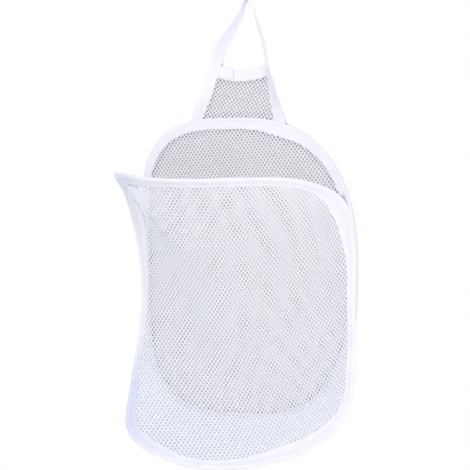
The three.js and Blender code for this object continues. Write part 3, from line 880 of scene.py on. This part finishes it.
def sew(name, marks):
    """Copies the stitch to every mark, which is a point, the way along, and the way out."""
    stitch = one_stitch()
    shape = np.array([v.co for v in stitch.data.vertices])
    faces = [list(p.vertices) for p in stitch.data.polygons]
    points, all_faces = [], []
    for k, (point, along, out) in enumerate(marks):
        lean = 0.06 * math.sin(7.3 * k)
        along = along.normalized()
        out = (out - along * out.dot(along)).normalized()
        side = out.cross(along)
        along = (along + side * lean).normalized()
        side = out.cross(along)
        turn = np.array([along, side, out])
        points.append(shape @ turn + np.array(point))
        all_faces += [[v + k * len(shape) for v in face] for face in faces]
    thread = stitch.data
    thread.clear_geometry()
    thread.from_pydata(np.concatenate(points).tolist(), [], all_faces)
    stitch.name = thread.name = name
    face_outward(stitch)
    bpy.ops.object.shade_smooth()
    print(name, "has", len(marks), "stitches")
    return stitch

# %% The stitches of the two tapes
stitch_inward = 8.7 * mm
tape_stitch_seat = 1.06 * mm


def tape_marks(loop, length, extra):
    """Stitches round a tape, first on its front flange and then on its back one."""
    count = int(length / stitch_pitch)
    marks = []
    for side in (1, -1):
        for s in loop.shares(0, 1, count)[0][:-1]:
            point, along, inward, front = loop.frame(s)
            laid = point + inward * reach_with(extra, point, stitch_inward)
            laid.y = float(loop.panel(laid.x, laid.z)[0])
            marks.append((laid + front * side * tape_stitch_seat, along, front * side))
    return marks


back_thread = sew("back_thread", tape_marks(back_loop, back_tape_length, crown_extra))
front_thread = sew("front_thread", tape_marks(front_loop, front_tape_length, front_extra))

# %% [markdown]
# The hems, the strap's feet and the band are sewn with the same stitch, so each only needs its
# own list of marks. A hem's stitches follow its inner edge and show on both sides of it.

# %% The stitches of the hems
hem_stitch_inset = 7.2 * mm
hem_stitched_share = 0.94
hem_stitch_seat = 1.15 * mm


def hem_marks(end):
    """Stitches along the inner edge of a hem, on its outer and its inner side."""
    step = 1 if end == 0 else -1
    inset = int(round(hem_stitch_inset / (back_run / gusset_long)))
    row, near = gusset_row(end + inset * step), gusset_row(end + (inset - 2) * step)
    count = int(length_of(row) * hem_stitched_share / stitch_pitch)
    marks = []
    for k in range(count):
        share = (1 - hem_stitched_share) / 2 + hem_stitched_share * (k + 0.5) / count
        low = min(int(share * gusset_wide), gusset_wide - 1)
        point = along_row(row, share)
        along = (row[low + 1] - row[low]).normalized()
        out = along.cross(near[low] - row[low]).normalized()
        for side in (1, -1):
            marks.append((point + out * side * hem_stitch_seat, along, out * side))
    return marks


left_hem_thread = sew("left_hem_thread", hem_marks(0))
right_hem_thread = sew("right_hem_thread", hem_marks(gusset_long))

# %% The stitches of the strap's feet and the band
foot_stitch_rows, foot_stitch_step = (9, 13), 3.3 * mm
foot_back_seat, foot_front_seat = 0.23 * mm, 0.48 * mm
band_stitched, band_stitch_up, band_stitch_seat = 68 * mm, 2 * mm, 1.25 * mm


def strap_marks():
    """Two lines of stitches across each foot, on the wall's side and on the front."""
    marks = []
    for foot, step in ((0, 1), (strap_long, -1)):
        for row in foot_stitch_rows:
            middle, along, across, front = strap_frames[foot + row * step]
            for k in range(-2, 3):
                place = middle + across * (k * foot_stitch_step)
                behind = place + front * (foot_back_seat - strap_thickness / 2)
                ahead = place + front * (foot_front_seat + strap_thickness / 2)
                marks += [(behind, across, -front), (ahead, across, front)]
    return marks


def band_marks():
    """A line along the band's lower edge, on the front and on the wall's side."""
    marks = []
    count = int(band_stitched / stitch_pitch)
    for k in range(count):
        share = (k + 0.5) / count
        z = band_top(share) - (band_height - band_stitch_up)
        left, right = leg_x(left_edge, z), leg_x(right_edge, z)
        slope = -band_dip * math.pi / band_stitched * math.cos(math.pi * share)
        for side in (1, -1):
            point = Vector((left + (right - left) * share, -band_stitch_seat * side, z))
            marks.append((point, Vector((1, 0, slope)), Vector((0, -side, 0))))
    return marks


strap_thread = sew("strap_thread", strap_marks())
band_thread = sew("band_thread", band_marks())

# %% [markdown]
# Two sets of stitches are darker in the photograph than the rest and get their own thread: the
# short upright line where the band's ends are joined, and a bar of close stitches that tacks the
# front tape near its sharp corner. Their darker colour is painted shade: it stands for the shadow
# at the edge of the band's overlap and the shadow line under the hem's edge near the corner.

# %% The darker stitches
join_share, join_down = 0.3, 1.5 * mm
join_step, join_count = Vector((0.17 * mm, 0, -1.35 * mm)), 11
tack_start, tack_end, tack_steps = 0.967, 0.9835, 15
tack_inward, tack_seat, tack_slant = 17.5 * mm, 1.1 * mm, 0.3


def join_marks():
    """The upright line where the band's two ends are joined."""
    z = band_top(join_share)
    left, right = leg_x(left_edge, z), leg_x(right_edge, z)
    top = Vector((left + (right - left) * 0.29, -band_stitch_seat, z - join_down))
    return [(top + k * join_step, Vector((1, 0, 0.5)), Vector((0, -1, 0)))
            for k in range(join_count)]


def tack_marks():
    """A bar of close stitches under the front tape, near its left corner."""
    marks = []
    for share in front_loop.shares(tack_start, tack_end, tack_steps)[0]:
        point, along, inward, front = front_loop.frame(share)
        laid = point + inward * tack_inward
        laid.y = float(front_loop.panel(laid.x, laid.z)[0])
        marks.append((laid + front * tack_seat, inward + along * tack_slant, front))
    return marks


join_thread = sew("join_thread", join_marks())
tack_thread = sew("tack_thread", tack_marks())

# %% [markdown]
# ## Materials
# Every cloth is a Principled shader whose pattern follows the piece's own UV map, in metres, so
# that a weave has the same real size on every sheet. Two wave textures, one along and one across,
# stand for the two sets of threads. Noise changes the colour a little from place to place, and a
# coarser noise gives soft creases.

# %% Building a material
def new_material(name, roughness, sheen=0.0, specular=0.5, metallic=0.0):
    material = bpy.data.materials.new(name)
    material.use_nodes = True
    shader = material.node_tree.nodes["Principled BSDF"]
    shader.inputs["Roughness"].default_value = roughness
    shader.inputs["Sheen Weight"].default_value = sheen
    shader.inputs["Sheen Roughness"].default_value = 0.5
    shader.inputs["Specular IOR Level"].default_value = specular
    shader.inputs["Metallic"].default_value = metallic
    return material, shader


def add_node(material, kind, **settings):
    node = material.node_tree.nodes.new(kind)
    for key, value in settings.items():
        if hasattr(node, key):
            setattr(node, key, value)
        else:
            node.inputs[key.replace("_", " ")].default_value = value
    return node


def join_nodes(material, start, end):
    material.node_tree.links.new(start, end)


def give(material, value, socket):
    """Sets a socket to a number, or joins it to another node's output."""
    if isinstance(value, (int, float)):
        socket.default_value = value
    else:
        join_nodes(material, value, socket)


def calculate(material, operation, a, b):
    node = add_node(material, "ShaderNodeMath", operation=operation)
    for socket, value in zip(node.inputs, (a, b)):
        give(material, value, socket)
    return node.outputs[0]

# %% Patterns, colours and bumps
def threads(material, coordinate, pitch, direction, distortion=1.0):
    """Parallel threads with a given pitch in metres."""
    wave = add_node(material, "ShaderNodeTexWave", bands_direction=direction,
                    Scale=2 * math.pi / 20 / pitch, Distortion=distortion)
    wave.inputs["Detail"].default_value = 2
    wave.inputs["Detail Scale"].default_value = 1.5
    join_nodes(material, coordinate, wave.inputs["Vector"])
    return wave.outputs["Fac"]


def speckle(material, coordinate, size, detail=3.0):
    node = add_node(material, "ShaderNodeTexNoise", Scale=1 / size, Detail=detail)
    join_nodes(material, coordinate, node.inputs["Vector"])
    return node.outputs["Fac"]


def ramp(material, value, stops):
    """Colours for a value: stops are pairs of a place and a colour."""
    node = add_node(material, "ShaderNodeValToRGB")
    elements = node.color_ramp.elements
    while len(elements) < len(stops):
        elements.new(0.5)
    for element, (place, colour) in zip(elements, stops):
        element.position = place
        element.color = (*colour, 1)
    join_nodes(material, value, node.inputs["Fac"])
    return node.outputs["Color"]


def bump(material, shader, height, distance, below=None):
    node = add_node(material, "ShaderNodeBump", Strength=1.0, Distance=distance)
    join_nodes(material, height, node.inputs["Height"])
    if below:
        join_nodes(material, below, node.inputs["Normal"])
    join_nodes(material, node.outputs["Normal"], shader.inputs["Normal"])
    return node.outputs["Normal"]

# %% [markdown]
# Thin cloth also glows when light comes from behind it, so each cloth mixes in a share of a
# Translucent shader. The room further down mixes its shaders in the same way.

# %% Light through the cloth
def show_mix(material, share, first, second):
    """Shows the first shader with a share of the second one mixed in."""
    mix = add_node(material, "ShaderNodeMixShader")
    give(material, share, mix.inputs[0])
    join_nodes(material, first.outputs[0], mix.inputs[1])
    join_nodes(material, second.outputs[0], mix.inputs[2])
    output = material.node_tree.nodes["Material Output"]
    join_nodes(material, mix.outputs[0], output.inputs["Surface"])


def let_light_through(material, shader, colour, share):
    """Mixes in a share of light that comes through the cloth from behind."""
    through = add_node(material, "ShaderNodeBsdfTranslucent")
    join_nodes(material, colour, through.inputs["Color"])
    show_mix(material, share, shader, through)

# %% A woven cloth
def mottled(material, place, size, pattern):
    """A slow mottle, with a little of the cloth's own pattern in it."""
    mottle = speckle(material, place.outputs["Object"], size, 5)
    return calculate(material, "ADD", calculate(material, "MULTIPLY", mottle, 0.8),
                     calculate(material, "MULTIPLY", pattern, 0.3))


def woven(name, light, shade, pitch_along, pitch_across, weave_depth, crease_size, crease_depth,
          through=0.2, roughness=0.75, sheen=0.25, specular=0.3, strip=None, spots=()):
    """A plain weave on the UV map, with a mottled colour and soft creases. A strip of painted shade
    is given as its width and the stops of a grey ramp across it, white where the cloth is at its
    lightest. Each spot of painted shade is a place, how far it spreads, and the colour of the shade
    painted there."""
    material, shader = new_material(name, roughness, sheen, specular)
    place = add_node(material, "ShaderNodeTexCoord")
    warp = threads(material, place.outputs["UV"], pitch_along, "X")
    weft = threads(material, place.outputs["UV"], pitch_across, "Y")
    weave = calculate(material, "MULTIPLY", warp, weft)
    creases = speckle(material, place.outputs["Object"], crease_size)
    tone = mottled(material, place, 35 * mm, weave)
    # The strip and the spots paint shade into the cloth's colour.
    if strip:
        width, stops = strip
        split = add_node(material, "ShaderNodeSeparateXYZ")
        join_nodes(material, place.outputs["UV"], split.inputs[0])
        across = calculate(material, "DIVIDE", split.outputs["Y"], width)
        painted_shade_bands = ramp(material, across, [(stop, (grey, grey, grey)) for stop, grey in stops])
        tone = calculate(material, "SUBTRACT", calculate(material, "ADD", tone, painted_shade_bands), 0.85)
    colour = ramp(material, tone, [(0.25, shade), (0.62, light)])
    for middle, spread, painted_shade_tint in spots:
        away = add_node(material, "ShaderNodeVectorMath", operation="DISTANCE")
        away.inputs[1].default_value = middle
        join_nodes(material, place.outputs["Object"], away.inputs[0])
        share = calculate(material, "DIVIDE", away.outputs["Value"], spread)
        near = ramp(material, share, [(0.25, painted_shade_tint), (1.0, (1, 1, 1))])
        blend = add_node(material, "ShaderNodeMix", data_type="RGBA", blend_type="MULTIPLY")
        blend.inputs["Factor"].default_value = 1
        join_nodes(material, colour, blend.inputs["A"])
        join_nodes(material, near, blend.inputs["B"])
        colour = blend.outputs["Result"]
    join_nodes(material, colour, shader.inputs["Base Color"])
    let_light_through(material, shader, colour, through)
    soft = bump(material, shader, creases, crease_depth)
    bump(material, shader, weave, weave_depth, below=soft)
    return material

# %% [markdown]
# Each cloth gets its own white, because the photograph shows the tapes, the webbing and the gusset
# a little apart. The front tape has painted shade: it is darker along the middle of its flanges and
# has two lilac spots of painted shade, near its sharp corner and low on its left. The webbing is
# painted darker across its middle and has a lilac spot of painted shade high on its left leg, and
# the hem tape's lilac colour is painted shade. The gusset lets the most light through.

# %% The finishes of the cloths
tape_weave = (0.9 * mm, 0.7 * mm, 0.10 * mm, 9 * mm, 1.0 * mm)
# Painted shade on the front tape: darker along the middle of each flange, and two lilac spots of
# painted shade, at the sharp corner and low on the left.
front_tape_painted_shade_bands = (tape_width, [(0.04, 1), (0.17, 0.6), (0.32, 1), (0.68, 1), (0.83, 0.6), (0.96, 1)])
front_tape_painted_shade_spots = [(front_tip, 60 * mm, (0.93, 0.935, 1.0)),
              (front_wire(5.4 / front_row_count), 108 * mm, (0.83, 0.85, 0.98))]
front_tape_finish_with_painted_shade = woven("front_tape", (0.96, 0.96, 0.965), (0.88, 0.88, 0.93), *tape_weave,
                          through=0.15, strip=front_tape_painted_shade_bands, spots=front_tape_painted_shade_spots)
tape_finish = woven("white_tape", (0.965, 0.965, 0.97), (0.92, 0.92, 0.945), *tape_weave,
                    through=0.15)
# Painted shade on the webbing: darker across its middle, and a lilac spot of painted shade high on
# its left leg.
strap_painted_shade_bands = (strap_width, [(0.0, 1), (0.30, 0.90), (0.70, 0.86), (0.95, 1)])
strap_painted_shade_spots = [(Vector((-28 * mm, -8 * mm, -45 * mm)), 65 * mm, (0.955, 0.955, 1.0))]
strap_finish_with_painted_shade = woven("white_webbing", (0.955, 0.955, 0.96), (0.885, 0.885, 0.93),
                     1.6 * mm, 0.9 * mm, 0.06 * mm, 14 * mm, 0.5 * mm,
                     strip=strap_painted_shade_bands, spots=strap_painted_shade_spots)
# The hem tape's lilac colour is painted shade on a white tape.
hem_finish_painted_lilac_shade = woven("hem_tape", (0.80, 0.80, 0.92), (0.70, 0.70, 0.86), *tape_weave, through=0.4)
gusset_finish = woven("gusset_cloth", (0.915, 0.915, 0.98), (0.865, 0.865, 0.95),
                      0.45 * mm, 0.45 * mm, 0.03 * mm, 26 * mm, 3 * mm,
                      through=0.6, roughness=0.5, sheen=0.1, specular=0.4)
bare_finish = woven("bare_cloth", (0.97, 0.97, 0.97), (0.93, 0.93, 0.94),
                    0.5 * mm, 0.5 * mm, 0.12 * mm, 6 * mm, 0.8 * mm, through=0.5)

# %% [markdown]
# The net has no flat weave, so its pattern reads Object coordinates: two sets of fine threads,
# turned a little. The sewing thread has a twist, and the wire and its sleeve are bare steel.

# %% The finishes of the nets, the threads and the steel
def net_material(name, dark, light):
    material, shader = new_material(name, 0.8, 0.2, 0.25)
    place = add_node(material, "ShaderNodeTexCoord")
    knit = add_node(material, "ShaderNodeMapping")
    knit.inputs["Rotation"].default_value = (0, math.radians(-4), 0)
    join_nodes(material, place.outputs["Object"], knit.inputs["Vector"])
    loops = threads(material, knit.outputs["Vector"], 0.7 * mm, "Z", 2.5)
    ribs = threads(material, knit.outputs["Vector"], 0.55 * mm, "X", 2.5)
    yarn = calculate(material, "MULTIPLY", loops, ribs)
    tone = mottled(material, place, 50 * mm, yarn)
    colour = ramp(material, tone, [(0.25, dark), (0.65, light)])
    join_nodes(material, colour, shader.inputs["Base Color"])
    let_light_through(material, shader, colour, 0.12)
    bump(material, shader, yarn, 0.2 * mm)
    return material


def thread_material(name, dark, light):
    material, shader = new_material(name, 0.6, 0.2, 0.4)
    place = add_node(material, "ShaderNodeTexCoord")
    twist = threads(material, place.outputs["Object"], 0.35 * mm, "DIAGONAL", 2)
    colour = ramp(material, twist, [(0.2, dark), (0.8, light)])
    join_nodes(material, colour, shader.inputs["Base Color"])
    bump(material, shader, twist, 0.08 * mm)
    return material


def steel_material(name, colour, roughness):
    material, shader = new_material(name, roughness, metallic=1.0)
    place = add_node(material, "ShaderNodeTexCoord")
    drawn = speckle(material, place.outputs["Object"], 0.8 * mm, 6)
    tone = ramp(material, drawn, [(0.3, tuple(c * 0.8 for c in colour)), (0.7, colour)])
    join_nodes(material, tone, shader.inputs["Base Color"])
    bump(material, shader, drawn, 0.02 * mm)
    return material


# The front net gets a lighter copy of the net's finish, as painted light, and the back and tab nets
# a darker one, as painted shade.
shaded_net_finish = net_material("knitted_net", (0.895, 0.895, 0.91), (0.94, 0.94, 0.945))
lit_front_net_finish = net_material("front_knitted_net_lit", (0.94, 0.94, 0.955), (0.985, 0.985, 0.99))
thread_finish = thread_material("sewing_thread", (0.76, 0.76, 0.85), (0.92, 0.92, 0.95))
# The darker thread's colour is painted shade, for the shadow at the band's join and under the hem
# near the sharp corner.
dark_thread_painted_shade_finish = thread_material("tack_thread", (0.42, 0.42, 0.52), (0.62, 0.62, 0.72))
wire_finish = steel_material("spring_steel", (0.62, 0.63, 0.66), 0.3)
sleeve_finish = steel_material("crimped_steel", (0.5, 0.5, 0.52), 0.42)

# %% Giving each piece its finish
def finish_with(material, *pieces):
    for piece in pieces:
        piece.data.materials.clear()
        piece.data.materials.append(material)


finish_with(tape_finish, back_tape, tab_band)
finish_with(front_tape_finish_with_painted_shade, front_tape)
finish_with(strap_finish_with_painted_shade, strap)
finish_with(hem_finish_painted_lilac_shade, left_hem, right_hem)
finish_with(gusset_finish, gusset_cloth)
finish_with(bare_finish, small_tab)
finish_with(shaded_net_finish, back_net, tab_net)
finish_with(lit_front_net_finish, front_net)
finish_with(thread_finish, back_thread, front_thread, left_hem_thread, right_hem_thread,
            strap_thread, band_thread)
finish_with(dark_thread_painted_shade_finish, join_thread, tack_thread)
finish_with(wire_finish, front_wire_copy)
finish_with(sleeve_finish, front_sleeve_copy)
for node, finish in (("back_frame_wire", wire_finish), ("back_wire_sleeve", sleeve_finish)):
    bpy.data.objects[node].material_slots[0].material = finish
print(len(bpy.data.materials), "materials")

# %% [markdown]
# ## The room
# The hamper hangs flat on a white wall, so a wall stands just behind it. The wall is seen only
# from the front, and it does not hold back the light, so the back of the hamper can be looked at
# as well. The wall glows white, and painted shade turns it grey wherever cloth lies close in front
# of it, which is what the net's holes show. A pale floor lies below.

# %% The wall's glow with painted shade, and the floor's paint
def wall_material():
    material = bpy.data.materials.new("wall_glow_with_painted_shade")
    material.use_nodes = True
    material.node_tree.nodes.clear()
    add_node(material, "ShaderNodeOutputMaterial")
    # Painted shade: the wall's glow turns grey where cloth lies close in front of it.
    nearness = add_node(material, "ShaderNodeAmbientOcclusion", samples=12)
    nearness.inputs["Distance"].default_value = 12 * mm
    painted_wall_shade = ramp(material, nearness.outputs["AO"],
                  [(0.41, (0.23, 0.23, 0.27)), (0.55, (1, 1, 1))])
    glow = add_node(material, "ShaderNodeEmission")
    join_nodes(material, painted_wall_shade, glow.inputs["Color"])
    ray = add_node(material, "ShaderNodeLightPath")
    seen = calculate(material, "MAXIMUM", ray.outputs["Is Camera Ray"],
                     ray.outputs["Is Glossy Ray"])
    seen = calculate(material, "MAXIMUM", seen, ray.outputs["Is Transmission Ray"])
    side = add_node(material, "ShaderNodeNewGeometry")
    ahead = calculate(material, "SUBTRACT", 1.0, side.outputs["Backfacing"])
    seen = calculate(material, "MULTIPLY", seen, ahead)
    show_mix(material, seen, add_node(material, "ShaderNodeBsdfTransparent"), glow)
    return material


def floor_material():
    material = bpy.data.materials.new("floor_paint")
    material.use_nodes = True
    shader = material.node_tree.nodes["Principled BSDF"]
    shader.inputs["Base Color"].default_value = (0.85, 0.85, 0.85, 1)
    shader.inputs["Roughness"].default_value = 0.8
    side = add_node(material, "ShaderNodeNewGeometry")
    show_mix(material, side.outputs["Backfacing"], shader,
             add_node(material, "ShaderNodeBsdfTransparent"))
    return material

# %% The wall and the floor
wall_y, floor_z, room_size = 4 * mm, -1.2, 6


def add_plane(name, place, turn, material):
    bpy.ops.mesh.primitive_plane_add(size=room_size, location=place, rotation=turn)
    plane = bpy.context.object
    plane.name = name
    bpy.ops.object.transform_apply(location=True, rotation=True, scale=True)
    finish_with(material, plane)
    return plane


wall = add_plane("wall", (0, wall_y, 0.4), (math.radians(90), 0, 0), wall_material())
floor = add_plane("floor", (0, 0, floor_z), (0, 0, 0), floor_material())

# %% [markdown]
# Four large soft lamps light it: one from the upper right, one from low on the right, one from
# the left, and one behind, which is for the views from the wall's side. A bluish sky fills in.

# %% The lamps and the sky
def add_lamp(name, place, target, size, power):
    bpy.ops.object.light_add(type="AREA", location=place)
    lamp = bpy.context.object
    lamp.name = name
    lamp.data.size = size
    lamp.data.energy = power
    aim = Vector(target) - Vector(place)
    lamp.rotation_euler = aim.to_track_quat("-Z", "Y").to_euler()
    return lamp


add_lamp("key_lamp", (0.9, -1.8, 0.7), (0, 0, -0.35), 1.4, 17)
add_lamp("low_lamp", (1.4, -1.4, -1.0), (0, 0, -0.45), 1.2, 8)
add_lamp("left_lamp", (-1.7, -0.8, 0.2), (0, 0, -0.35), 1.2, 7)
add_lamp("back_lamp", (-1.1, 1.4, 0.5), (0, 0, -0.35), 1.4, 20)
world = bpy.data.worlds.new("soft_room")
bpy.context.scene.world = world
world.use_nodes = True
sky = world.node_tree.nodes["Background"]
sky.inputs["Color"].default_value = (0.90, 0.915, 1.0, 1)
sky.inputs["Strength"].default_value = 0.79
bpy.context.scene.view_settings.view_transform = "Standard"

# %% [markdown]
# ## What moves
# The basket swings on the soft seam where its back tape meets the strap, and the front loop
# presses towards the wall. The front pieces ride on the front body, and the gusset and the hems
# stay on the basket; each of these gets a mesh of its own. The band and its stitches ride on the
# hanger, and the strap, its stitches and the tab's net have their places baked into their meshes.

# %% Riding, and hiding the imported parts
basket_pieces = [back_tape, back_net, back_thread, small_tab]
front_pieces = [front_tape, front_net, front_thread, tack_thread, front_wire_copy,
                front_sleeve_copy]
between_pieces = [gusset_cloth, left_hem, right_hem, left_hem_thread, right_hem_thread]
for piece in basket_pieces + between_pieces:
    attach(piece, "basket")
for piece in front_pieces:
    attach(piece, "front")
for piece in (tab_band, band_thread, join_thread):
    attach(piece, "hanger")
for piece in (strap, strap_thread, tab_net):
    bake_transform(piece)
for piece in front_pieces:
    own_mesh(piece)
for piece in between_pieces:
    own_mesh(piece)

for piece, node, slot in (
    (back_tape, "back_binding", "binding_tape"), (front_tape, "front_binding", "binding_tape"),
    (tab_band, "tab_top_band", "binding_tape"), (strap, "hanging_strap", "webbing"),
    (left_hem, "left_mouth_hem", "hem_tape"), (right_hem, "right_mouth_hem", "hem_tape"),
    (gusset_cloth, "gusset", "gusset_cloth"), (small_tab, "sewn_tab", "gusset_cloth"),
    (back_net, "back_mesh", "net"), (front_net, "front_mesh", "net"), (tab_net, "tab_mesh", "net"),
    (front_wire_copy, "front_frame_wire", "spring_wire"),
    (front_sleeve_copy, "front_wire_sleeve", "crimp_steel"),
):
    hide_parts(node)
